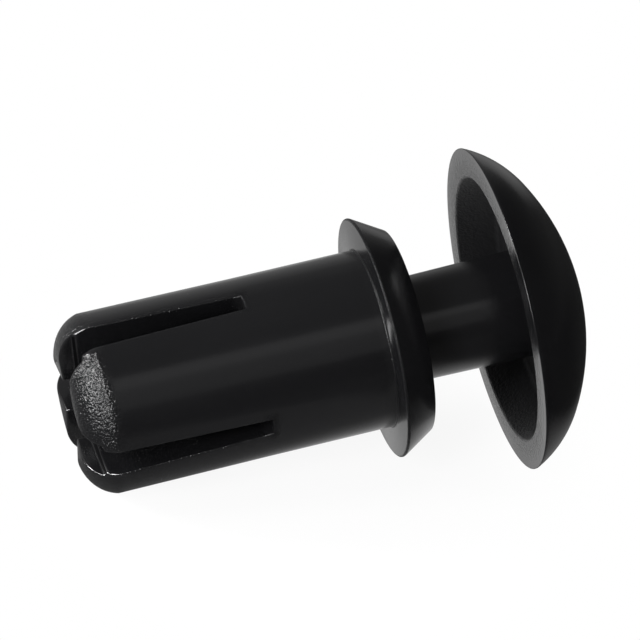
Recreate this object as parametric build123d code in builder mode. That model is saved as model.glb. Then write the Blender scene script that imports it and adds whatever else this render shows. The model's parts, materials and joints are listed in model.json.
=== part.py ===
"""Push rivet in two nylon mouldings, lying on its side as it comes to rest.

The rivet body is one moulding: a conical collar, and a hollow shank that a cross of
tapered slots splits into four legs. The push pin is the other: a hollow mushroom head
on a tapered stem. Pressed home, the stem breaks through the floor at the leg ends and
spreads the legs behind the panel, and the head swallows the collar.

The rivet lies on the head's rim and on its leg ends, and rolls until it rests astride
one of the slots, with two legs on the floor.

Units are millimetres and degrees. The row frame has Z up and +X towards the head, with
its origin on the floor under the middle of the rivet. Sizes along the rivet's own axis
are counted from the seat, the flat underside of the collar, positive towards the head.
"""
from build123d import *
from math import atan2, cos, degrees, radians, sin, tan
import os

# Shank and legs
shank_d = 5.0
shank_length = 7.85
leg_d = 5.05  # the legs flare a little, from the slots' roots to where their ends round
leg_end_length = 0.83
leg_end_flat_d = 2.92
leg_end_dish = 0.1  # the flat ends are a little hollow towards the middle
floor_t = 0.55  # wall across the leg ends, which the pin breaks through
floor_corner_r = 0.5
slot_root_at = 3.55
slot_root_w = 0.51
slot_tip_w = 0.84
notch_w = 1.12  # the slots widen in a step at the leg ends
notch_depth = 0.42

# Collar
collar_d = 6.85
collar_top_d = 5.69
collar_t = 0.96
collar_edge_r = 0.06

# Pin stem
stem_d = 2.92  # where it leaves the collar, at rest
stem_draft = 0.8
stem_tip_r = 0.3
stem_root_r = 0.12
pressed_gap = 0.03  # round the stem in its bore, once pressed home
mouth_chamfer = 0.15
pin_proud = 0.5  # beyond the leg ends, once pressed home

# Pin head
rim_gap = 2.61  # from the collar's top to the head's rim, at rest
rim_w = 0.84
cavity_mouth_gap = 0.31  # round the collar, at the rim
cavity_floor_gap = 0.3  # round the collar's top
cavity_top_gap = 0.1  # over the collar, once pressed home
cavity_corner_r = 0.25
cavity_chamfer = 0.05
web_t = 1.25  # head above its cavity
crown_r = 6.4
shoulder_w = 1.15  # from the crown's edge to the rim, measured across the axis

# Sizes that follow from those
shank_r = shank_d / 2
leg_r = leg_d / 2
collar_r = collar_d / 2
collar_top_r = collar_top_d / 2
leg_end_flat_r = leg_end_flat_d / 2
leg_end_at = -(shank_length + leg_end_length)
bore_floor_at = leg_end_at + floor_t
rim_at = collar_t + rim_gap
travel = rim_at  # the rim comes down to the seat's plane, on the panel
cavity_mouth_r = collar_r + cavity_mouth_gap
cavity_floor_r = collar_top_r + cavity_floor_gap
cavity_floor_at = rim_at + collar_t + cavity_top_gap
head_r = cavity_mouth_r + rim_w
head_top_at = cavity_floor_at + web_t
crown_edge_r = head_r - shoulder_w
crown_centre_at = head_top_at - crown_r
crown_edge_at = crown_centre_at + (crown_r**2 - crown_edge_r**2) ** 0.5
pin_end_at = leg_end_at - pin_proud + travel
slope = tan(radians(stem_draft))
bore_gap = pressed_gap + travel * slope


def stem_radius(at):
    """The stem's radius at a place along the axis, with the pin at rest."""
    return stem_d / 2 + (at - collar_t) * slope


def bore_radius(at):
    """The bore has the stem's own draft, so the gap round the stem is even."""
    return stem_radius(at) + bore_gap


# Each slot is a wedge, with straight walls that part towards the leg ends
slot_flare = (slot_tip_w - slot_root_w) / 2 / (-leg_end_at - slot_root_at)


def slot_half_width(at):
    """Half the slot's width at a place along the axis, from its root to past the legs."""
    return slot_root_w / 2 - (at + slot_root_at) * slot_flare


# How it lies: on the head's rim and, astride a slot, where the leg ends begin to round
foot_r = (leg_r**2 - slot_half_width(-shank_length) ** 2) ** 0.5
tilt = atan2(head_r - foot_r, rim_at + shank_length)
axis_dir = Vector(cos(tilt), 0, sin(tilt))
down_dir = Vector(sin(tilt), 0, -cos(tilt))
side_dir = Vector(0, 1, 0)

# The part's ends along X, from the seat's centre, put the origin under its middle
leg_round_drop = leg_r - leg_end_flat_r
leg_round_r = (leg_round_drop**2 + leg_end_length**2) / (2 * leg_end_length)
top_corner_r = (leg_end_flat_r**2 - (notch_w / 2) ** 2) ** 0.5
head_reach = crown_centre_at * cos(tilt) + crown_r
leg_reach = (
    (leg_end_at + leg_round_r) * cos(tilt) - top_corner_r * sin(tilt) - leg_round_r
)
seat_centre = Vector(
    -(head_reach + leg_reach) / 2,
    0,
    shank_length * sin(tilt) + foot_r * cos(tilt),
)
rivet_axis = Axis(seat_centre, axis_dir)


def plane_at(turn):
    """A plane through the axis: X points out at this turn from straight down, Y to the head."""
    out = down_dir * cos(radians(turn)) + side_dir * sin(radians(turn))
    return Plane(origin=seat_centre, x_dir=out, z_dir=out.cross(axis_dir))


def corner(sketch, radius, at):
    """The profile's corner nearest to a radius and a place along the axis."""
    return sketch.vertices().sort_by_distance((radius, at))[0]


# Rivet body: collar, shank and legs in one moulding
with BuildPart() as rivet_body:
    with BuildSketch(plane_at(0)) as body_profile:
        with BuildLine():
            Line((0, leg_end_at + leg_end_dish), (leg_end_flat_r, leg_end_at))
            TangentArc((leg_end_flat_r, leg_end_at), (leg_r, -shank_length), tangent=(1, 0))
            Polyline(
                (leg_r, -shank_length),
                (shank_r, -slot_root_at),
                (shank_r, 0),
                (collar_r, 0),
                (collar_top_r, collar_t),
                (bore_radius(collar_t), collar_t),
                (bore_radius(bore_floor_at), bore_floor_at),
                (0, bore_floor_at),
                (0, leg_end_at + leg_end_dish),
            )
        make_face()
        fillet(corner(body_profile, collar_r, 0), collar_edge_r)
        fillet(corner(body_profile, collar_top_r, collar_t), collar_edge_r)
        chamfer(corner(body_profile, bore_radius(collar_t), collar_t), mouth_chamfer)
        floor_corner = corner(body_profile, bore_radius(bore_floor_at), bore_floor_at)
        fillet(floor_corner, floor_corner_r)
    revolve(axis=rivet_axis)

    # Each cut goes right through, one upright and one level, and they part four legs
    cut_end_at = leg_end_at - leg_r
    slot_root_half = slot_half_width(-slot_root_at)
    slot_end_half = slot_half_width(cut_end_at)
    notch_at = leg_end_at + notch_depth
    for turn in (0, 90):
        with BuildSketch(plane_at(turn)):
            with BuildLine():
                Polyline(
                    (-slot_root_half, -slot_root_at),
                    (slot_root_half, -slot_root_at),
                    (slot_end_half, cut_end_at),
                    (-slot_end_half, cut_end_at),
                    close=True,
                )
            make_face()
            with Locations((0, (notch_at + cut_end_at) / 2)):
                Rectangle(notch_w, notch_at - cut_end_at)
        extrude(amount=shank_d, both=True, mode=Mode.SUBTRACT)

# Push pin: stem and hollow mushroom head in one moulding, with the seam of its round faces
# turned away from the floor
with BuildPart() as push_pin:
    with BuildSketch(plane_at(45)) as pin_profile:
        with BuildLine():
            crown_edge = (crown_edge_r, crown_edge_at)
            crown = TangentArc((0, head_top_at), crown_edge, tangent=(1, 0))
            TangentArc(crown_edge, (head_r, rim_at), tangent=crown % 1)
            Polyline(
                (head_r, rim_at),
                (cavity_mouth_r, rim_at),
                (cavity_floor_r, cavity_floor_at),
                (stem_radius(cavity_floor_at), cavity_floor_at),
                (stem_radius(pin_end_at), pin_end_at),
                (0, pin_end_at),
                (0, head_top_at),
            )
        make_face()
        chamfer(corner(pin_profile, cavity_mouth_r, rim_at), cavity_chamfer)
        fillet(corner(pin_profile, cavity_floor_r, cavity_floor_at), cavity_corner_r)
        stem_root = corner(pin_profile, stem_radius(cavity_floor_at), cavity_floor_at)
        fillet(stem_root, stem_root_r)
        fillet(corner(pin_profile, stem_radius(pin_end_at), pin_end_at), stem_tip_r)
    revolve(axis=rivet_axis)

os.makedirs("parts", exist_ok=True)
rivet_body.part.label = "rivet_body"
export_step(rivet_body.part, "parts/rivet_body.step")
push_pin.part.label = "push_pin"
export_step(push_pin.part, "parts/push_pin.step")

print("tilt", round(degrees(tilt), 3), "travel", round(travel, 3))
print("axis", [round(v, 6) for v in axis_dir], "seat", [round(v, 5) for v in seat_centre])
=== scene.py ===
# %% [markdown]
# # Dressing a two-piece push rivet
# A push rivet holds two panels together without a tool. Its body goes through a hole, and a
# thumb on the pin's head drives the stem down between four legs, which spread behind the
# panels. Both pieces are moulded in black nylon. The solids, the place where the rivet lies
# and the pin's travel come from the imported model, and this file gives them their finish.

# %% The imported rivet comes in
import json
import math

import bmesh
import bpy
from mathutils import Matrix, Quaternion, Vector

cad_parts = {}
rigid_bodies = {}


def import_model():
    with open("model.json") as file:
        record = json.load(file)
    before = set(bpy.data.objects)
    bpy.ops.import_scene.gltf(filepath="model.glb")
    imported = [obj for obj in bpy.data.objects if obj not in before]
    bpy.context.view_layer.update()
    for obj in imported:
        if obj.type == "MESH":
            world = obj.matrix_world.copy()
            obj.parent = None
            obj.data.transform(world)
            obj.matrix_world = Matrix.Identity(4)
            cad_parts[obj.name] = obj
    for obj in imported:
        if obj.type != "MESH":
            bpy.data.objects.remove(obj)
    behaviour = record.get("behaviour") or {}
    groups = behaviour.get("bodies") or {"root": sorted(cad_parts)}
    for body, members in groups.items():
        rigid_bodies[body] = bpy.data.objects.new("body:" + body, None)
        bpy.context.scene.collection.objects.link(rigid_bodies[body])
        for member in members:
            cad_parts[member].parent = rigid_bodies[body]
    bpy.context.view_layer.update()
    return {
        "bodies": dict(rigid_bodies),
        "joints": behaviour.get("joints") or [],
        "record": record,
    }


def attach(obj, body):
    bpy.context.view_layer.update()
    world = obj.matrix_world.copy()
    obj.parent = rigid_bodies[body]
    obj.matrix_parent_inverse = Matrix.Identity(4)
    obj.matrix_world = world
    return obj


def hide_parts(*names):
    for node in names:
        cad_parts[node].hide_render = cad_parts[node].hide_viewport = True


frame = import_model()

# %% [markdown]
# ## The rivet's own frame
# The rivet lies tilted, on the rim of its head and on two of its legs. Both pieces are
# round about one axis, so they are easiest to shape upright, in millimetres, with Z along
# that axis towards the head and zero at the seat, where the collar meets the panel. X
# points up and Y to the near side, through the slots. One matrix then lays them down.

# %% Where the rivet lies
MM = 0.001
press = frame["joints"][0]
mounts = {mount["name"]: mount for mount in frame["record"]["mounts"]}
shank_mount = mounts["shank"]

head_way = -Vector(press["axis"]).normalized()
up_way = head_way.cross(Vector((0, 1, 0)))
near_way = head_way.cross(up_way)

shank_r = shank_mount["dims"]["r_mm"]
slot_root_at = -shank_mount["dims"]["length_mm"]
seat_point = Vector(shank_mount["pos_m"]) - head_way * slot_root_at * MM / 2
rim_at = (Vector(mounts["head_rim"]["pos_m"]) - seat_point).dot(head_way) / MM
travel = press["range_m"][1] / MM

turned = Matrix((up_way, near_way, head_way)).transposed().to_4x4()
laid_down = Matrix.Translation(seat_point) @ turned @ Matrix.Scale(MM, 4)
print("shank radius", shank_r, "rim at", round(rim_at, 3), "travel", travel)

# %% [markdown]
# ## The camera
# A long lens from 150 mm keeps the small part free of distortion. The camera looks down on
# the near side from the legs' end, and is rolled a little, so that the rivet climbs across
# the frame from the lower left.

# %% Camera
camera_azimuth = math.radians(-22.16)
camera_elevation = math.radians(40.15)
camera_roll = math.radians(9.15)
camera_distance = 150 * MM
lens_length = 305.7
seat_right_of_middle = 1.445 * MM
seat_below_middle = 0.504 * MM

camera_back = Vector((
    math.sin(camera_azimuth) * math.cos(camera_elevation),
    -math.cos(camera_azimuth) * math.cos(camera_elevation),
    math.sin(camera_elevation),
))
level_view = camera_back.to_track_quat("Z", "Y")
rolled_view = level_view @ Quaternion((0, 0, 1), camera_roll)
camera_right = rolled_view @ Vector((1, 0, 0))
camera_up = rolled_view @ Vector((0, 1, 0))

camera_data = bpy.data.cameras.new("camera")
camera_data.lens = lens_length
camera_data.sensor_width = 36
camera_data.clip_start = 0.01
camera_data.clip_end = 5
camera = bpy.data.objects.new("camera", camera_data)
camera.rotation_mode = "QUATERNION"
camera.rotation_quaternion = rolled_view
middle_of_view = seat_point - camera_right * seat_right_of_middle + camera_up * seat_below_middle
camera.location = middle_of_view + camera_back * camera_distance
bpy.context.scene.collection.objects.link(camera)
bpy.context.scene.camera = camera
bpy.context.scene.view_settings.view_transform = "Standard"
print("camera at", [round(c / MM, 1) for c in camera.location], "mm")

# %% [markdown]
# ## Helpers for node trees
# The studio, the plastic and the bending legs are all node trees. A few short functions
# make their nodes, so that a tree reads as a sum of named steps. Each takes numbers or the
# outputs of other nodes alike.


# %% Node helpers
def new_node(tree, kind, inputs=None, **settings):
    """A node with its settings, and with inputs set to values or linked to outputs."""
    made = tree.nodes.new(kind)
    for name, value in settings.items():
        setattr(made, name, value)
    for place, value in (inputs or {}).items():
        if isinstance(value, bpy.types.NodeSocket):
            tree.links.new(value, made.inputs[place])
        else:
            made.inputs[place].default_value = value
    return made


def math_node(tree, operation, first, second):
    """A sum, a product or the like of two values; returns the output."""
    return new_node(tree, "ShaderNodeMath", {0: first, 1: second}, operation=operation).outputs[0]


def product(tree, first, *others):
    """Several values multiplied in turn; returns the output."""
    for other in others:
        first = math_node(tree, "MULTIPLY", first, other)
    return first


def ramp(tree, value, low, high, to_low=0.0, to_high=1.0, kind="SMOOTHSTEP"):
    """A value carried from one range to another, with soft ends or straight; returns the output."""
    ranges = {"From Min": low, "From Max": high, "To Min": to_low, "To Max": to_high}
    made = new_node(tree, "ShaderNodeMapRange", {"Value": value, **ranges}, interpolation_type=kind)
    return made.outputs["Result"]


def blend(tree, share, first, second):
    """The first value carried into the second by a share; returns the output."""
    return new_node(tree, "ShaderNodeMix", {0: share, 2: first, 3: second}, data_type="FLOAT").outputs[0]


def along(tree, source, way):
    """How far a vector reaches along a direction; returns the output."""
    return new_node(tree, "ShaderNodeVectorMath", {0: source, 1: way},
                    operation="DOT_PRODUCT").outputs["Value"]


def background_rays(tree):
    """Two outputs: 1 for the camera's own rays, and 1 for rays in a gloss or a clear part."""
    path = new_node(tree, "ShaderNodeLightPath").outputs
    in_a_gloss = math_node(tree, "MAXIMUM", path["Is Glossy Ray"], path["Is Transmission Ray"])
    return path["Is Camera Ray"], in_a_gloss


# %% [markdown]
# ## The studio
# Black plastic is shaped by what it mirrors. For the camera the background is white, and
# everything matt is lit by one plain level. In a gloss the room is dim, with a paler sweep
# low down behind the rivet and a dark right side. So each round form gets a soft grey edge
# and stays black in its middle. A picture of a studio wrapped round the scene would do it
# too, but a few ramps on the direction are easier to steer.

# %% World
back_way = Vector((-camera_back.x, -camera_back.y, 0)).normalized()
right_way = Vector((camera_right.x, camera_right.y, 0)).normalized()
plain_level = 0.65
room_level = 0.145
sweep_level = 0.16
sweep_full_behind = 0.8  # these three are cosines, 1 straight that way and 0 square to it
sweep_ends_above = 0.65
dark_right_full = 0.5
dark_right_share = 0.2

world = bpy.data.worlds.new("studio")
bpy.context.scene.world = world
world.use_nodes = True
world.cycles.sampling_method = "NONE"
sky = world.node_tree
sky.nodes.clear()

direction = new_node(sky, "ShaderNodeTexCoord").outputs["Generated"]
behind = ramp(sky, along(sky, direction, back_way), 0.0, sweep_full_behind)
low_down = ramp(sky, along(sky, direction, Vector((0, 0, 1))), 0.0, sweep_ends_above, 1.0, 0.0)
room_right = ramp(sky, along(sky, direction, right_way), 0.0, dark_right_full, 1.0, dark_right_share)
sweep = product(sky, behind, low_down, sweep_level)
mirrored_room = product(sky, math_node(sky, "ADD", sweep, room_level), room_right)
sky_seen, sky_in_gloss = background_rays(sky)
sky_plain = math_node(sky, "MAXIMUM", sky_seen, plain_level)
sky_level = blend(sky, sky_in_gloss, sky_plain, mirrored_room)
glow = new_node(sky, "ShaderNodeBackground", {"Color": (1, 1, 1, 1), "Strength": sky_level})
new_node(sky, "ShaderNodeOutputWorld", {"Surface": glow.outputs[0]})
print("world", len(sky.nodes), "nodes, room", room_level, "and sweep", sweep_level)

# %% [markdown]
# ## White paper
# The rivet lies on a wide disc of paper. To the camera it is plain white, and only close to
# the rivet does a little of its matt side show a faint shadow. In a gloss it has levels of
# its own: dark in front, paler behind, and darker again to both sides. They turn the faces
# that look away from the camera an even grey. Grey cards would do the same in a real
# studio, but here one material does it, so that no card stands in the picture.

# %% Floor
floor_radius = 500 * MM
floor_mesh = bmesh.new()
bmesh.ops.create_circle(floor_mesh, cap_ends=True, segments=96, radius=floor_radius)
floor_data = bpy.data.meshes.new("floor")
floor_mesh.to_mesh(floor_data)
floor_mesh.free()
floor = bpy.data.objects.new("floor", floor_data)
bpy.context.scene.collection.objects.link(floor)

paper = bpy.data.materials.new("white_paper")
paper.use_nodes = True
paper.cycles.emission_sampling = "NONE"
ground = paper.node_tree
ground.nodes.clear()
place = new_node(ground, "ShaderNodeTexCoord").outputs["Object"]
away = along(ground, place, back_way)
across = along(ground, place, right_way)
floor_data.materials.append(paper)
print("floor", round(floor_radius / MM), "mm round the rivet")

# %% [markdown]
# ## What a gloss sees on the paper
# Close to the rivet the level goes by place. It rises from the front to the back, and fades
# at the side of the head's rim, farther past the head, and to the left. Each fade is a ramp
# along one of the camera's directions, and the fades are multiplied.

# %% Mirrored beside the rivet
front_level = 0.22
front_until = -3.0 * MM
back_level = 0.66
back_from = 0.3 * MM

rim_side_share = 0.36
rim_side_from = 5.3 * MM
rim_side_full = 6.8 * MM

dark_side_share = 0.1
dark_side_from = 8.5 * MM
dark_side_full = 13.0 * MM
dark_side_slant = 0.6  # how much of the way off counts as way across

left_side_share = 0.45
left_side_from = 6.0 * MM
left_side_full = -13.0 * MM

under = ramp(ground, away, front_until, back_from, front_level, back_level)
rim_side = ramp(ground, across, rim_side_from, rim_side_full, 1.0, rim_side_share)
past_head = math_node(ground, "ADD", across, product(ground, away, dark_side_slant))
dark_side = ramp(ground, past_head, dark_side_from, dark_side_full, 1.0, dark_side_share)
left_side = ramp(ground, across, left_side_full, left_side_from, left_side_share, 1.0)
sides = product(ground, rim_side, dark_side, left_side)
beside = product(ground, under, sides)
print("paper in a gloss beside the rivet:", front_level, "in front,", back_level, "behind")

# %% [markdown]
# Farther behind the rivet the level goes by direction instead, which is the way across
# divided by the way off. Seen in the plastic, far places of one direction lie close
# together, and a level by place would squeeze into a line.

# %% Mirrored farther off
far_level = 0.33
far_right_level = 0.05
far_right_from = 0.40  # these four are the way across divided by the way off
far_right_full = 0.68
far_left_from = -0.05
far_left_full = -0.75
far_left_share = 0.42

far_starts = 10 * MM
far_full = 30 * MM

aside = math_node(ground, "DIVIDE", across, away)
far_right = ramp(ground, aside, far_right_from, far_right_full, far_level, far_right_level)
far_left = ramp(ground, aside, far_left_full, far_left_from, far_left_share, 1.0)
far_off = product(ground, far_right, far_left)
mirrored_paper = blend(ground, ramp(ground, away, far_starts, far_full), beside, far_off)
print("paper in a gloss farther off:", far_level)

# %% [markdown]
# Two shaders share the paper. Its matt side takes the lamps' light and the rivet's shadow.
# Its glowing side is plain white for the camera and has the levels above for a gloss. Close
# to the rivet a tenth of the matt side shows, and with it a tenth of the shadow.

# %% Paper seen and lit
shadow_reach = 9 * MM
shadow_share = 0.10

distance = new_node(ground, "ShaderNodeVectorMath", {0: place}, operation="LENGTH").outputs["Value"]
shadow = ramp(ground, distance, shadow_reach / 3, shadow_reach, shadow_share, 0.0)
paper_seen, paper_in_gloss = background_rays(ground)
shown_white = product(ground, paper_seen, math_node(ground, "SUBTRACT", 1.0, shadow))
glow_share = math_node(ground, "MAXIMUM", shown_white, paper_in_gloss)
glow_level = blend(ground, paper_in_gloss, 1.0, mirrored_paper)
matt_side = new_node(ground, "ShaderNodeBsdfDiffuse", {"Color": (0.8, 0.8, 0.8, 1)})
glowing_side = new_node(ground, "ShaderNodeEmission", {"Strength": glow_level})
paper_sides = new_node(ground, "ShaderNodeMixShader", {
    0: glow_share,
    1: matt_side.outputs[0],
    2: glowing_side.outputs[0],
})
new_node(ground, "ShaderNodeOutputMaterial", {"Surface": paper_sides.outputs[0]})
print("paper", len(ground.nodes), "nodes, shadow share", shadow_share)


# %% [markdown]
# ## Lamps
# Two wide soft lamps over the near side lay a faint band along each round form. At the left
# a broad weak lamp fills the rounded leg ends, and three small bright ones, one of them
# tall, draw the bright patches there and the thin lines on the edges. The power of a lamp
# follows from how bright its face looks, so a wider one isn't a brighter one.


# %% Lamps
def softbox(name, way, distance, size, radiance):
    """A soft lamp that faces the rivet; its way is right, up and back as the camera sees it."""
    right, up, back = way
    lamp_way = (camera_right * right + camera_up * up + camera_back * back).normalized()
    lamp = bpy.data.lights.new(name, "AREA")
    lamp.shape = "RECTANGLE"
    lamp.size = size[0] * MM
    lamp.size_y = size[1] * MM
    lamp.energy = radiance * math.pi * lamp.size * lamp.size_y
    box = bpy.data.objects.new(name, lamp)
    box.rotation_mode = "QUATERNION"
    box.rotation_quaternion = lamp_way.to_track_quat("Z", "Y")
    box.location = seat_point + lamp_way * distance * MM
    bpy.context.scene.collection.objects.link(box)
    print(name, "at", [round(c / MM) for c in box.location], "mm")


softbox("left_key", way=(-0.76, 0.27, 0.60), distance=120, size=(90, 60), radiance=0.5)
softbox("left_spark", way=(-0.72, 0.32, 0.62), distance=120, size=(25, 25), radiance=26.0)
softbox("left_high", way=(-0.42, -0.03, 0.90), distance=120, size=(22, 60), radiance=32.0)
softbox("left_low", way=(-0.88, 0.36, 0.28), distance=120, size=(25, 25), radiance=70.0)
softbox("top_soft", way=(0.255, 0.35, 0.90), distance=170, size=(90, 45), radiance=0.40)
softbox("front_soft", way=(0.29, 0.0, 0.95), distance=170, size=(90, 75), radiance=0.20)

# %% [markdown]
# ## A profile for each piece
# A turned or round-moulded form is a profile swung about its axis. The profile is a wire in
# the XZ plane: X is the radius and Z the place along the axis. Straight stretches join a
# few corners, a corner is rounded by a bevel of its vertex, and a true arc is one vertex
# spun about the arc's centre.


# %% Profile helpers
def wire(bm, start, points):
    """Straight stretches from a vertex through points (radius, at); returns the new corners."""
    corners = [start]
    for radius, at in points:
        corners.append(bm.verts.new((radius, 0, at)))
        bm.edges.new(corners[-2:])
    return corners[1:]


def arc(bm, start, tangent, end, steps):
    """An arc that leaves a vertex along a tangent and ends at a point.

    Returns its last vertex and the tangent there.
    """
    chord = Vector(end) - Vector((start.co.x, start.co.z))
    side = Vector((tangent.y, -tangent.x))
    turn = 2 * math.atan2(chord.dot(side), chord.dot(tangent))
    centre = side * (chord.length_squared / (2 * chord.dot(side)))
    middle = start.co + Vector((centre.x, 0, centre.y))
    spun = bmesh.ops.spin(bm, geom=[start], cent=middle, axis=(0, 1, 0), angle=turn, steps=steps)
    last = next(v for v in spun["geom_last"] if isinstance(v, bmesh.types.BMVert))
    return last, Matrix.Rotation(-turn, 2) @ tangent


def cut_corner(bm, corner, size, steps=1):
    """A chamfer in place of a corner of the wire, or a rounding where it has more steps."""
    bmesh.ops.bevel(bm, geom=[corner], offset=size, offset_type="OFFSET",
                    segments=steps, profile=0.5, affect="VERTICES", material=-1)


def round_corner(bm, corner, radius, steps):
    """A rounding of that radius in place of a corner of the wire."""
    ways = [edge.other_vert(corner).co - corner.co for edge in corner.link_edges]
    turn = math.pi - ways[0].angle(ways[1])
    cut_corner(bm, corner, radius * math.tan(turn / 2), steps)


# %% [markdown]
# ## The stem and its bore
# Both have the same draft, the slight taper that lets a moulding leave its tool, so the gap
# between them is the same all the way down, and closes evenly as the pin goes home.

# %% Stem and bore radius
collar_t = 0.96
stem_r = 1.46
draft = math.tan(math.radians(0.8))
pressed_gap = 0.03
bore_gap = pressed_gap + travel * draft


def stem_radius(at):
    """The stem's radius at a place along the axis, with the pin at rest."""
    return stem_r + (at - collar_t) * draft


def bore_radius(at):
    """The bore's radius round it."""
    return stem_radius(at) + bore_gap


print("gap round the stem", round(bore_gap, 3), "mm at rest and", pressed_gap, "mm pressed home")

# %% [markdown]
# ## The body's quarter
# A cross of slots repeats each quarter turn, so one quarter is shaped and copied round. Its
# leg is one swung profile, open at the slots, and the strip over the slot is another that
# stops at the slot's root. They could be one full turn with the slots cut out by a
# boolean, but then no edge loop would follow a slot's wall, and the leg could not bend or
# take a clean bevel. Instead each ring's points are turned to meet the walls.

# %% Sizes of the body
leg_r = 2.525
crease_at = -7.85
leg_end_at = -8.68
leg_end_flat_r = 1.46
leg_end_dish = 0.1
floor_t = 0.55
floor_corner_r = 0.5
slot_root_w = 0.51
slot_tip_w = 0.84
notch_w = 1.12
notch_depth = 0.42
collar_r = 3.425
collar_top_r = 2.845
collar_edge_r = 0.06
seat_corner_r = 0.05
mouth_chamfer = 0.15
notch_at = leg_end_at + notch_depth
bore_floor_at = leg_end_at + floor_t

leg_end_length = crease_at - leg_end_at
leg_round_drop = leg_r - leg_end_flat_r
leg_round_r = (leg_round_drop**2 + leg_end_length**2) / (2 * leg_end_length)
step_above_end = leg_round_r - (notch_at - leg_end_at)
step_r = leg_end_flat_r + math.sqrt(leg_round_r**2 - step_above_end**2)


def slot_half_width(at):
    """Half of a slot's width: even above its root, flared below, and wide in the notch."""
    if at < notch_at:
        return notch_w / 2
    flare = (slot_tip_w - slot_root_w) / 2 / (slot_root_at - leg_end_at)
    return slot_root_w / 2 + max(0.0, slot_root_at - at) * flare


def apex_radius(at):
    """How far from the axis the walls of two crossing slots meet."""
    return slot_half_width(at) * math.sqrt(2)


print("leg ends rounded by", round(leg_round_r, 3), "mm, step", round(step_r, 3), "mm from the axis")

# %% [markdown]
# ## Two profiles
# The leg's profile goes from the ledge in the slot up the bore, over the collar, down the
# shank and round the leg's end, and the notch's wall closes it. The strip over a slot has
# the same upper part, so the rings of both meet point for point.

# %% The leg's profile
floor_corner_steps = 6
leg_round_steps = floor_corner_steps + 2
notch_steps = 8
ledge_seam = 1e-4


def upper_profile(bm, bore_end, outer_start):
    """From the slot root's level up the bore, over the collar and back down the shank."""
    top = wire(bm, bore_end, [
        (bore_radius(collar_t), collar_t),
        (collar_top_r, collar_t),
        (collar_r, 0),
        (shank_r, 0),
    ])
    bm.edges.new((top[-1], outer_start))
    mouth, collar_top, collar_edge, seat_corner = top
    cut_corner(bm, mouth, mouth_chamfer)
    round_corner(bm, collar_top, collar_edge_r, steps=3)
    round_corner(bm, collar_edge, collar_edge_r, steps=4)
    round_corner(bm, seat_corner, seat_corner_r, steps=3)


def leg_profile(bm):
    """The closed profile of a leg and of the shank and collar over it."""
    ledge = bm.verts.new((apex_radius(notch_at), 0, notch_at))
    _, floor_corner, bore_end = wire(bm, ledge, [
        (apex_radius(bore_floor_at), bore_floor_at),
        (bore_radius(bore_floor_at), bore_floor_at),
        (bore_radius(slot_root_at), slot_root_at),
    ])
    round_corner(bm, floor_corner, floor_corner_r, floor_corner_steps)

    below_ledge = notch_at - ledge_seam
    notch_apex_r = apex_radius(below_ledge)
    apex_at = leg_end_at + leg_end_dish * (1 - notch_apex_r / leg_end_flat_r)
    down_the_notch = [
        (notch_apex_r, below_ledge + (apex_at - below_ledge) * step / notch_steps)
        for step in range(notch_steps + 1)
    ]
    tip = wire(bm, ledge, down_the_notch)[-1]
    flat_edge, = wire(bm, tip, [(leg_end_flat_r, leg_end_at)])
    below_step, slope = arc(bm, flat_edge, Vector((1, 0)), (step_r, below_ledge), notch_steps)
    step, = wire(bm, below_step, [(step_r, notch_at)])
    crease, _ = arc(bm, step, slope, (leg_r, crease_at), leg_round_steps)
    shank_start, = wire(bm, crease, [(shank_r, slot_root_at)])
    upper_profile(bm, bore_end, shank_start)


def bridge_profile(bm):
    """The same wall over a slot, closed across the slot's root."""
    bore_end = bm.verts.new((bore_radius(slot_root_at), 0, slot_root_at))
    shank_start = bm.verts.new((shank_r, 0, slot_root_at))
    bm.edges.new((bore_end, shank_start))
    upper_profile(bm, bore_end, shank_start)


# %% [markdown]
# ## Swinging the quarter
# A spin leaves its rings evenly spaced, so the leg's sides would follow radii. A slot's
# walls are flat, though, and part towards the leg ends. So each point is turned about the
# axis by the angle that its own radius needs to lie in a wall, or its share of that angle.

# %% The quarter's steps
leg_steps = 26
slot_steps = 3
leg_share = math.radians(80)
slot_share = math.radians(90) - leg_share
beside_wall = 1 - 2 / leg_steps  # the column next to the wall, as a share of half the leg
stretch_cuts = 13
end_width = 0.1  # an edge that reaches this far outwards crosses the leg's end
slack = 1e-4  # a point this near a place or an angle is on it


def swing(bm, profile, first_turn, sweep, steps):
    """A profile made at a turn about the axis and swung on through another."""
    part = bmesh.new()
    profile(part)
    long_edges = [edge for edge in part.edges if edge.calc_length() > shank_r]
    bmesh.ops.subdivide_edges(part, edges=long_edges, cuts=stretch_cuts)
    bmesh.ops.rotate(part, verts=part.verts, cent=(0, 0, 0),
                     matrix=Matrix.Rotation(first_turn, 3, "Z"))
    bmesh.ops.spin(part, geom=part.verts[:] + part.edges[:], cent=(0, 0, 0), axis=(0, 0, 1),
                   angle=sweep, steps=steps)
    swung = bpy.data.meshes.new("swung")
    part.to_mesh(swung)
    part.free()
    bm.from_mesh(swung)
    bpy.data.meshes.remove(swung)


def angle_to_wall(radius, half_width):
    """The angle from the middle of a leg to a wall that far from its slot's middle."""
    return max(0.0, math.radians(45) - math.asin(min(1.0, half_width / radius)))


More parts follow.
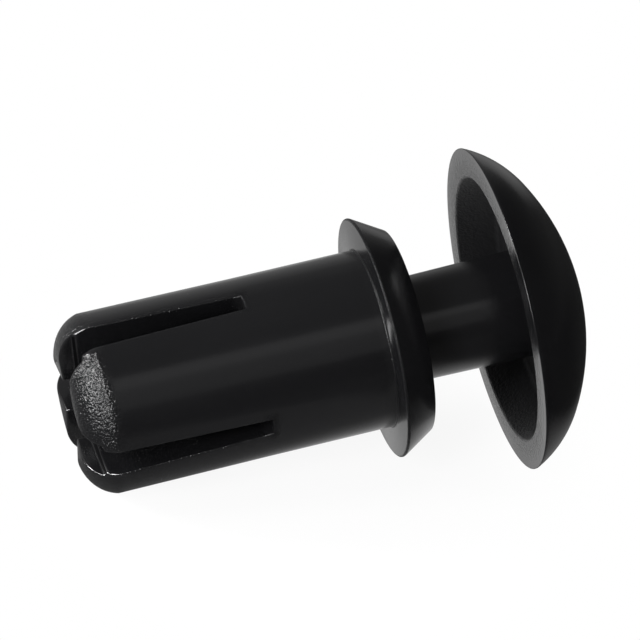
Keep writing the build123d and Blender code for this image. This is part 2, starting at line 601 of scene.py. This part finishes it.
def meet_the_walls(vert):
    """Turns a point of the quarter so that the leg's sides lie in the slots' flat walls.

    The column beside each wall lies where the notch's wall is, so the notch has edges
    to follow.
    """
    radius = math.hypot(vert.co.x, vert.co.y)
    angle = math.atan2(vert.co.y, vert.co.x)
    to_wall = angle_to_wall(radius, slot_half_width(vert.co.z))
    to_notch = min(to_wall, angle_to_wall(radius, notch_w / 2))
    share = abs(angle) / (leg_share / 2)
    if share <= beside_wall + slack:
        angle = math.copysign(to_notch * share / beside_wall, angle)
    elif share <= 1 + slack:
        angle = math.copysign(to_wall if share > 1 - slack else to_notch, angle)
    else:
        past_leg = (angle - math.radians(45)) / (slot_share / 2)
        angle = math.radians(45) + past_leg * (math.radians(45) - to_wall)
    vert.co.x = radius * math.cos(angle)
    vert.co.y = radius * math.sin(angle)


# %% [markdown]
# ## Picking by place
# Later steps work on a few edges and faces only. They are picked by where they are, such as
# beside a slot or across a leg's end. Picking them by number would be shorter, but the
# numbers change with every size and step count.

# %% Picking edges and faces
def is_beside_a_slot(edge):
    """Whether an edge is below the level of the slots' roots."""
    return all(v.co.z < slot_root_at + slack for v in edge.verts)


def is_at_the_side(edge, side):
    """Whether an edge lies at one side of the leg, 1 or -1, as it was swung."""
    return all(abs(math.atan2(v.co.y, v.co.x) - side * leg_share / 2) < slack for v in edge.verts)


def crosses_the_end(edge):
    """Whether an edge lies across the flat end of a leg."""
    radii = [v.co.xy.length for v in edge.verts]
    in_the_notch = all(v.co.z < notch_at - ledge_seam / 2 for v in edge.verts)
    in_the_flat = max(radii) < leg_end_flat_r + slack
    return in_the_notch and in_the_flat and max(radii) - min(radii) > end_width


def is_level(item, at):
    """Whether an edge or a face lies at one place along the axis."""
    return all(abs(v.co.z - at) < slack for v in item.verts)


# %% Swinging and turning
body = bmesh.new()
swing(body, leg_profile, -leg_share / 2, leg_share, leg_steps)
wall_edges = {
    side: [
        edge for edge in body.edges
        if is_at_the_side(edge, side) and is_beside_a_slot(edge) and not crosses_the_end(edge)
    ]
    for side in (-1, 1)
}
swing(body, bridge_profile, leg_share / 2, slot_share, slot_steps)
for vert in body.verts:
    meet_the_walls(vert)
print("quarter", len(body.verts), "points,", [len(e) for e in wall_edges.values()], "edges a wall")

# %% [markdown]
# ## Slot walls and the four quarters
# Each side of the leg shows two chains of edges, one down the outside and one down the
# bore, with as many edges in each. Bridging them makes the flat wall as a ladder of quads,
# which can bend with the leg. Three turned copies and a merge close the ring. The flat leg
# ends and the floor inside them then become one face each, which leaves room for a bevel.

# %% Walls, copies and merge
merge_within = 0.002
downward = -0.9  # a face looks down where its normal has this Z or less

for edges in wall_edges.values():
    bmesh.ops.bridge_loops(body, edges=edges)
quarter = body.verts[:] + body.edges[:] + body.faces[:]
for turn in range(1, 4):
    copy = bmesh.ops.duplicate(body, geom=quarter)
    copied = [item for item in copy["geom"] if isinstance(item, bmesh.types.BMVert)]
    bmesh.ops.rotate(body, verts=copied, cent=(0, 0, 0),
                     matrix=Matrix.Rotation(math.radians(90 * turn), 3, "Z"))
bmesh.ops.rotate(body, verts=body.verts, cent=(0, 0, 0),
                 matrix=Matrix.Rotation(math.radians(45), 3, "Z"))
bmesh.ops.remove_doubles(body, verts=body.verts, dist=merge_within)
bmesh.ops.recalc_face_normals(body, faces=body.faces)
leg_ends = [
    face for face in body.faces
    if face.normal.z < downward
    and all(v.co.z < notch_at and v.co.xy.length < leg_end_flat_r + slack for v in face.verts)
]
floors = [face for face in body.faces if is_level(face, bore_floor_at)]
bmesh.ops.dissolve_faces(body, faces=leg_ends + floors)
print("body", len(body.verts), "points, volume", round(body.calc_volume(signed=True), 1), "mm3")

# %% [markdown]
# ## Edges that catch the light
# No moulded edge is perfectly sharp. The edges of the slots and legs get a narrow bevel of
# three faces, because a rounded edge is what shows as a thin bright line. The crease where
# the leg ends begin to round is real, and stays a sharp change of shading. The layers that
# will hold the finish are made before the bevel, because making a layer lets go of every
# point and face that was picked earlier.

# %% Bevel
leg_edge_bevel = 0.06
sharp_from = math.radians(60)


def smooth_but_for(bm, crease):
    """Smooth shading all over, but for a sharp edge at one place along the axis."""
    for face in bm.faces:
        face.smooth = True
    for edge in bm.edges:
        if is_level(edge, crease):
            edge.smooth = False


rough = body.verts.layers.float.new("rough")
dull = body.verts.layers.float.new("dull")
shaded = body.faces.layers.float.new("shaded")
leg_edges = [
    edge for edge in body.edges
    if edge.calc_face_angle_signed() > sharp_from and is_beside_a_slot(edge)
]
rounded = bmesh.ops.bevel(body, geom=leg_edges, offset=leg_edge_bevel, offset_type="OFFSET",
                          segments=3, profile=0.5, affect="EDGES", material=-1,
                          clamp_overlap=False)
burrs = {vert for face in rounded["faces"] for vert in face.verts}
smooth_but_for(body, crease_at)
print("bevelled", len(leg_edges), "edges;", len(body.faces), "faces")

# %% [markdown]
# ## Where the mould was left rough
# The leg ends come from a rougher part of the tool, and the edges of the slots keep a trace
# of flash, the thin fin where two parts of a mould meet. Round the leg ends those edges are
# polished, and at the slots' roots and round the seat they are dull. Each point carries how
# rough and how dull it is, and less than no dullness is a polish. The steps in the slots get
# painted shade: their faces carry a share by which the finish darkens their colour and takes
# away their gloss, standing in for the shade of the walls on all sides.

# %% Which faces are rough or shaded
wall_skin = 0.02  # a face this near a slot belongs to the slot
outward_from = 0.05  # a face looks outwards where its normal reaches this far out
ledge_below = 0.01
ledge_above = 0.1
ledge_to_outside = 0.1  # the ledge's outer end is in the light
ledge_side_slack = 1e-3


def is_ledge(face):
    """Whether a face is on the step inside a slot, over the notch, or on its bevel."""
    in_the_slot = all(
        -ledge_below < v.co.z - notch_at < ledge_above
        and min(abs(v.co.x), abs(v.co.y)) < notch_w / 2 + ledge_side_slack
        for v in face.verts
    )
    return in_the_slot and face.calc_center_median().xy.length < step_r - ledge_to_outside


def is_rough(face):
    """Whether a face is on the outside of a leg end, and not in a slot or the bore."""
    centre = face.calc_center_median()
    outward = face.normal.dot(Vector((centre.x, centre.y, 0)).normalized())
    off_the_slots = min(abs(centre.x), abs(centre.y)) - slot_half_width(centre.z)
    end_face = face.normal.z < downward and centre.z < leg_end_at + leg_end_dish
    return (outward > outward_from and off_the_slots > wall_skin) or end_face


# %% Rough, dull and shaded places
flash_rough = 0.6
polished = -1.0
polish_past_crease = 0.1
root_rough = 0.2
root_dull = 0.7
root_reach = 0.15
seat_edge_rough = 0.6
seat_edge_dull = 0.6
seat_edge_reach = 0.085
seat_skin = 0.002
# how much painted shade the faces of the steps in the slots get
ledge_shade = 0.85

for vert in body.verts:
    at = vert.co.z
    if vert in burrs:
        vert[rough] = flash_rough if at > crease_at else 0.0
        vert[dull] = polished if at < crease_at + polish_past_crease else 0.0
        if at > slot_root_at - root_reach:
            vert[rough] = root_rough
            vert[dull] = root_dull
    elif at < crease_at + slack:
        vert[rough] = sum(map(is_rough, vert.link_faces)) / len(vert.link_faces)
    if seat_skin < abs(at) < seat_edge_reach and vert.co.xy.length > shank_r + seat_skin:
        vert[rough] = seat_edge_rough
        vert[dull] = seat_edge_dull
# painted shade: the faces of the steps in the slots are marked to be darkened and lose their gloss
for face in body.faces:
    face[shaded] = ledge_shade if is_ledge(face) else 0.0
print("rough points", sum(vert[rough] > 0 for vert in body.verts),
      "shaded faces", sum(face[shaded] > 0 for face in body.faces))


# %% [markdown]
# ## From shape to piece
# Each finished mesh remembers where its points were in the rivet's own millimetres, in an
# attribute that the finish reads. So the pattern on the plastic stays with the plastic,
# also where a leg bends. Then the mesh is laid down into the row's frame in metres.


# %% Piece helper
def store_vectors(mesh, name, values):
    """A vector for each point, kept with the mesh."""
    attribute = mesh.attributes.new(name, "FLOAT_VECTOR", "POINT")
    attribute.data.foreach_set("vector", [c for value in values for c in value])


def make_piece(bm, name, body_name):
    """An object from a mesh in the rivet's own frame, in place and riding on its body."""
    mesh = bpy.data.meshes.new(name)
    bm.to_mesh(mesh)
    bm.free()
    store_vectors(mesh, "rivet_mm", [v.co.copy() for v in mesh.vertices])
    mesh.transform(laid_down)
    piece = bpy.data.objects.new(name, mesh)
    bpy.context.scene.collection.objects.link(piece)
    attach(piece, body_name)
    print(name, len(mesh.vertices), "points,", len(mesh.polygons), "faces")
    return piece


def even_shading(piece):
    """Shading that follows the large faces, so a bevel doesn't darken the flat beside it."""
    weighted = piece.modifiers.new("even_shading", "WEIGHTED_NORMAL")
    weighted.keep_sharp = True
    weighted.weight = 50


body_points = [v.co.copy() for v in body.verts]
split_body = make_piece(body, "split_body", "rivet_body")
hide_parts("rivet_body")

# %% [markdown]
# ## Legs that spread
# Pressed home, the stem's end pushes the four legs apart. A leg is a beam held at the
# slot's root and pushed at its tip, so its centre line follows the beam's curve and each
# cross-section turns with it. The full spread is stored for each point, and a Geometry
# Nodes modifier adds the share of it that the pin's place asks for.

# %% How far each point spreads
spread_at_tip = 0.80
middle_of_wall = 2.0
leg_length = slot_root_at - bore_floor_at


def leg_spread(point):
    """How far a point of a leg moves when the pin is home, in the rivet's own frame.

    The push is the cubic curve of a beam, and goes straight on past the beam's end. The
    slant is the slope of that curve.
    """
    share = max(0.0, slot_root_at - point.z) / leg_length
    bent = min(share, 1.0)
    push = spread_at_tip * ((3 * bent**2 - bent**3) / 2 + 1.5 * (share - bent))
    slant = math.atan(spread_at_tip / leg_length * (6 * bent - 3 * bent**2) / 2)
    leg_way = Vector((math.copysign(1, point.x), math.copysign(1, point.y), 0)).normalized()
    off_middle = point.dot(leg_way) - middle_of_wall
    out = push + off_middle * (math.cos(slant) - 1)
    return leg_way * out + Vector((0, 0, off_middle * math.sin(slant)))


to_row = laid_down.to_3x3()
store_vectors(split_body.data, "spread", [to_row @ leg_spread(p) for p in body_points])
print("legs", round(leg_length, 2), "mm long, spread by", spread_at_tip, "mm at their tips")

# %% [markdown]
# ## The bend follows the pin
# The stem's end touches the floor of the legs at 2.5 mm of travel and has opened it 0.6 mm
# later. Shape keys could hold the bend too, but nothing in them follows the pin. The
# modifier reads the place of the pin's body, so it bends the legs in every pose.

# %% The modifier
touch_at = 2.5 * MM
open_at = 3.1 * MM

flex = bpy.data.node_groups.new("legs_spread", "GeometryNodeTree")
flex.interface.new_socket("Geometry", in_out="INPUT", socket_type="NodeSocketGeometry")
flex.interface.new_socket("Geometry", in_out="OUTPUT", socket_type="NodeSocketGeometry")
shape_in = new_node(flex, "NodeGroupInput")
pin_place = new_node(flex, "GeometryNodeObjectInfo", {"Object": frame["bodies"]["push_pin"]},
                     transform_space="RELATIVE")
pressed = along(flex, pin_place.outputs["Location"], -head_way)
full_spread = new_node(flex, "GeometryNodeInputNamedAttribute", {"Name": "spread"},
                       data_type="FLOAT_VECTOR")
offset = new_node(flex, "ShaderNodeVectorMath", {
    0: full_spread.outputs["Attribute"],
    "Scale": ramp(flex, pressed, touch_at, open_at),
}, operation="SCALE")
move = new_node(flex, "GeometryNodeSetPosition", {
    "Geometry": shape_in.outputs[0],
    "Offset": offset.outputs[0],
})
new_node(flex, "NodeGroupOutput", {0: move.outputs[0]})
split_body.modifiers.new("legs_spread", "NODES").node_group = flex
even_shading(split_body)
print("modifiers", [modifier.name for modifier in split_body.modifiers])

# %% [markdown]
# ## The pin
# The pin is round all over, so one profile swung through a full turn makes it: a crown and
# a tighter shoulder in one smooth curve, the flat rim, the hollow that takes the collar,
# and the stem down to its end inside the body.

# %% Sizes of the pin
rim_w = 0.84
cavity_mouth_gap = 0.31
cavity_floor_gap = 0.30
cavity_top_gap = 0.10
cavity_corner_r = 0.25
cavity_chamfer = 0.05
crown_over_cavity = 1.245
crown_r = 6.4
shoulder_w = 1.15
stem_root_r = 0.12
stem_tip_r = 0.3
rim_edge_r = 0.02
pin_proud = 0.5

cavity_mouth_r = collar_r + cavity_mouth_gap
cavity_floor_r = collar_top_r + cavity_floor_gap
cavity_floor_at = rim_at + collar_t + cavity_top_gap
head_r = cavity_mouth_r + rim_w
head_top_at = cavity_floor_at + crown_over_cavity
crown_edge_r = head_r - shoulder_w
crown_centre_at = head_top_at - crown_r
crown_edge_at = crown_centre_at + math.sqrt(crown_r**2 - crown_edge_r**2)
pin_end_at = leg_end_at - pin_proud + travel
print("head", round(2 * head_r, 3), "mm across, its top at", round(head_top_at, 3))

# %% [markdown]
# ## One wire, one turn
# The wire starts at the pole, where the crown crosses the axis. The shoulder's arc leaves
# along the crown's own slope, so the two meet without a crease. The full turn merges its
# last ring with the first, and a merge by distance makes one point of each pole.

# %% The pin's profile and full turn
crown_steps = 16
shoulder_steps = 14
pin_steps = 160
pin_merge_within = 1e-5  # enough, because the points of a pole lie on each other

pin = bmesh.new()
pole = pin.verts.new((0, 0, head_top_at))
crown_edge, crown_slope = arc(pin, pole, Vector((1, 0)), (crown_edge_r, crown_edge_at), crown_steps)
rim_edge, _ = arc(pin, crown_edge, crown_slope, (head_r, rim_at), shoulder_steps)
cavity_mouth, cavity_corner, stem_root, stem_end, _ = wire(pin, rim_edge, [
    (cavity_mouth_r, rim_at),
    (cavity_floor_r, cavity_floor_at),
    (stem_radius(cavity_floor_at), cavity_floor_at),
    (stem_radius(pin_end_at), pin_end_at),
    (0, pin_end_at),
])
round_corner(pin, rim_edge, rim_edge_r, steps=2)
cut_corner(pin, cavity_mouth, cavity_chamfer)
round_corner(pin, cavity_corner, cavity_corner_r, steps=6)
round_corner(pin, stem_root, stem_root_r, steps=4)
round_corner(pin, stem_end, stem_tip_r, steps=6)
bmesh.ops.spin(pin, geom=pin.verts[:] + pin.edges[:], cent=(0, 0, 0), axis=(0, 0, 1),
               angle=math.radians(360), steps=pin_steps, use_merge=True)
bmesh.ops.remove_doubles(pin, verts=pin.verts, dist=pin_merge_within)
bmesh.ops.recalc_face_normals(pin, faces=pin.faces)
smooth_but_for(pin, rim_at)
print("pin", len(pin.verts), "points, volume", round(pin.calc_volume(signed=True), 1), "mm3")

# %% [markdown]
# ## Where the pin is dull
# The hollow of the head is hard to reach when a tool is polished, so its skin is dull. Its
# mouth keeps a trace of flash, as the slots do. Painting points is enough for both, because
# the rings of the full turn follow their edges.

# %% The pin's dull hollow and rough mouth
hollow_dull = 0.8
hollow_skin = 1e-3
mouth_rough = 1.0
mouth_reach = 0.1

pin_dull = pin.verts.layers.float.new("dull")
pin_rough = pin.verts.layers.float.new("rough")
for vert in pin.verts:
    at = vert.co.z
    radius = vert.co.xy.length
    in_the_hollow = rim_at + hollow_skin < at < cavity_floor_at + hollow_skin
    if in_the_hollow and stem_r + stem_root_r < radius < cavity_mouth_r:
        vert[pin_dull] = hollow_dull
    if abs(radius - cavity_mouth_r) < cavity_chamfer + hollow_skin and at < rim_at + mouth_reach:
        vert[pin_rough] = mouth_rough
print("dull points", sum(vert[pin_dull] > 0 for vert in pin.verts),
      "rough points", sum(vert[pin_rough] > 0 for vert in pin.verts))

domed_pin = make_piece(pin, "domed_pin", "push_pin")
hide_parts("push_pin")
even_shading(domed_pin)

# %% [markdown]
# ## Black nylon
# Filled black nylon is nearly black with a satin skin. Its colour wanders a little where
# the melt flowed, and its skin has a fine grain. The leg ends come from a rougher part of
# the tool, and their skin is crinkled, which breaks a highlight into sparks. A dull place
# is mottled and mirrors less, and a polished one mirrors more. An image wrapped round the
# pieces could be the skin, but noises on their own millimetres have no seam and no edge.

# %% The plastic's own coordinates
nylon = bpy.data.materials.new("black_nylon")
nylon.use_nodes = True
plastic = nylon.node_tree
plastic.nodes.clear()


def painted(name):
    """An attribute of the mesh, as a node."""
    return new_node(plastic, "ShaderNodeAttribute", attribute_name=name)


rivet_mm = painted("rivet_mm").outputs["Vector"]
crinkled = painted("rough").outputs["Fac"]
dullness = painted("dull").outputs["Fac"]
shade = painted("shaded").outputs["Fac"]


def noise_of(scale, detail, roughness=0.5, stretch=None):
    """A noise on the rivet's own millimetres; returns its value."""
    source = rivet_mm
    if stretch:
        source = new_node(plastic, "ShaderNodeMapping", {
            "Vector": rivet_mm,
            "Scale": stretch,
        }).outputs["Vector"]
    made = new_node(plastic, "ShaderNodeTexNoise", {
        "Vector": source,
        "Scale": scale,
        "Detail": detail,
        "Roughness": roughness,
    })
    return made.outputs[0]


print("material", nylon.name, "reads rivet_mm, rough, dull and shaded")

# %% [markdown]
# ## Relief of the skin
# Three bumps lie over each other: a fine grain everywhere, a crinkle where the points are
# rough, and a mottle where they are dull. As real relief they would take millions of faces,
# and they are too shallow to change an outline.

# %% Relief of the skin
grain_depth = 0.0012 * MM
crinkle_depth = 0.05 * MM
mottle_depth = 0.03 * MM


def bump(value, depth, under=None, strength=1.0):
    """A bump of that depth in metres over another; returns the normal."""
    made = new_node(plastic, "ShaderNodeBump", {
        "Height": value,
        "Distance": depth,
        "Strength": strength,
    })
    if under:
        plastic.links.new(under, made.inputs["Normal"])
    return made.outputs["Normal"]


grain = noise_of(scale=24, detail=3)
crinkle = noise_of(scale=15, detail=1.5, roughness=0.6)
mottle = noise_of(scale=7, detail=3)
grained = bump(grain, grain_depth)
grained_and_crinkled = bump(crinkle, crinkle_depth, grained, crinkled)
skin = bump(mottle, mottle_depth, grained_and_crinkled, dullness)
print("relief up to", crinkle_depth / MM, "mm deep")

# %% [markdown]
# ## Colour, roughness and gloss
# One noise for the flow of the melt leads the colour and a little of the roughness, so they
# wander together. A rough place is a little rougher to light too, and a dull one much more.
# Where a face carries painted shade, the plastic's colour is darkened to nearly black and its gloss is
# taken away.

# %% Colour, roughness and gloss
dark_melt = (0.0032, 0.0032, 0.0036, 1)
pale_melt = (0.0055, 0.0055, 0.0060, 1)
# the nearly black colour of painted shade on the steps in the slots
painted_shade_colour = (0.0005, 0.0005, 0.0006, 1)
flow_low = 0.3
flow_high = 0.7
satin_low = 0.16
satin_high = 0.21
crinkled_adds = 0.02
dull_adds = 0.30
plain_gloss = 0.45


def colour_mix(share, first, second):
    """The first colour carried into the second by a share; returns the output."""
    return new_node(plastic, "ShaderNodeMix", {"Factor": share, "A": first, "B": second},
                    data_type="RGBA").outputs["Result"]


flow = noise_of(scale=0.7, detail=3, stretch=(1, 1, 0.3))
# the melt's colour, darkened where a face carries painted shade
colour = colour_mix(shade, colour_mix(flow, dark_melt, pale_melt), painted_shade_colour)

satin = ramp(plastic, flow, flow_low, flow_high, satin_low, satin_high, "LINEAR")
coarse = ramp(plastic, crinkled, 0, 1, 0.0, crinkled_adds, "LINEAR")
matt = ramp(plastic, dullness, 0, 1, 0.0, dull_adds, "LINEAR")
roughness = math_node(plastic, "ADD", math_node(plastic, "ADD", satin, coarse), matt)
polish = ramp(plastic, dullness, -1, 1, 2 * plain_gloss, 0.0, "LINEAR")
# painted shade also takes the gloss away
gloss = product(plastic, polish, math_node(plastic, "SUBTRACT", 1.0, shade))
print("roughness from", satin_low, "to", satin_high, "and up to", dull_adds, "more where dull")

# %% [markdown]
# One shader takes them all, and both pieces share it. Its gloss is also written as a plain
# value, for a program that can't read the painted one.

# %% The nylon's shader
shader = new_node(plastic, "ShaderNodeBsdfPrincipled", {
    "Specular IOR Level": plain_gloss,
    "Base Color": colour,
    "Roughness": roughness,
    "Normal": skin,
})
plastic.links.new(gloss, shader.inputs["Specular IOR Level"])
new_node(plastic, "ShaderNodeOutputMaterial", {"Surface": shader.outputs[0]})
for piece in (split_body, domed_pin):
    piece.data.materials.append(nylon)
print("black nylon", len(plastic.nodes), "nodes")

# %% [markdown]
# The dressed rivet has to fill the same space as the imported one.

bpy.context.view_layer.update()
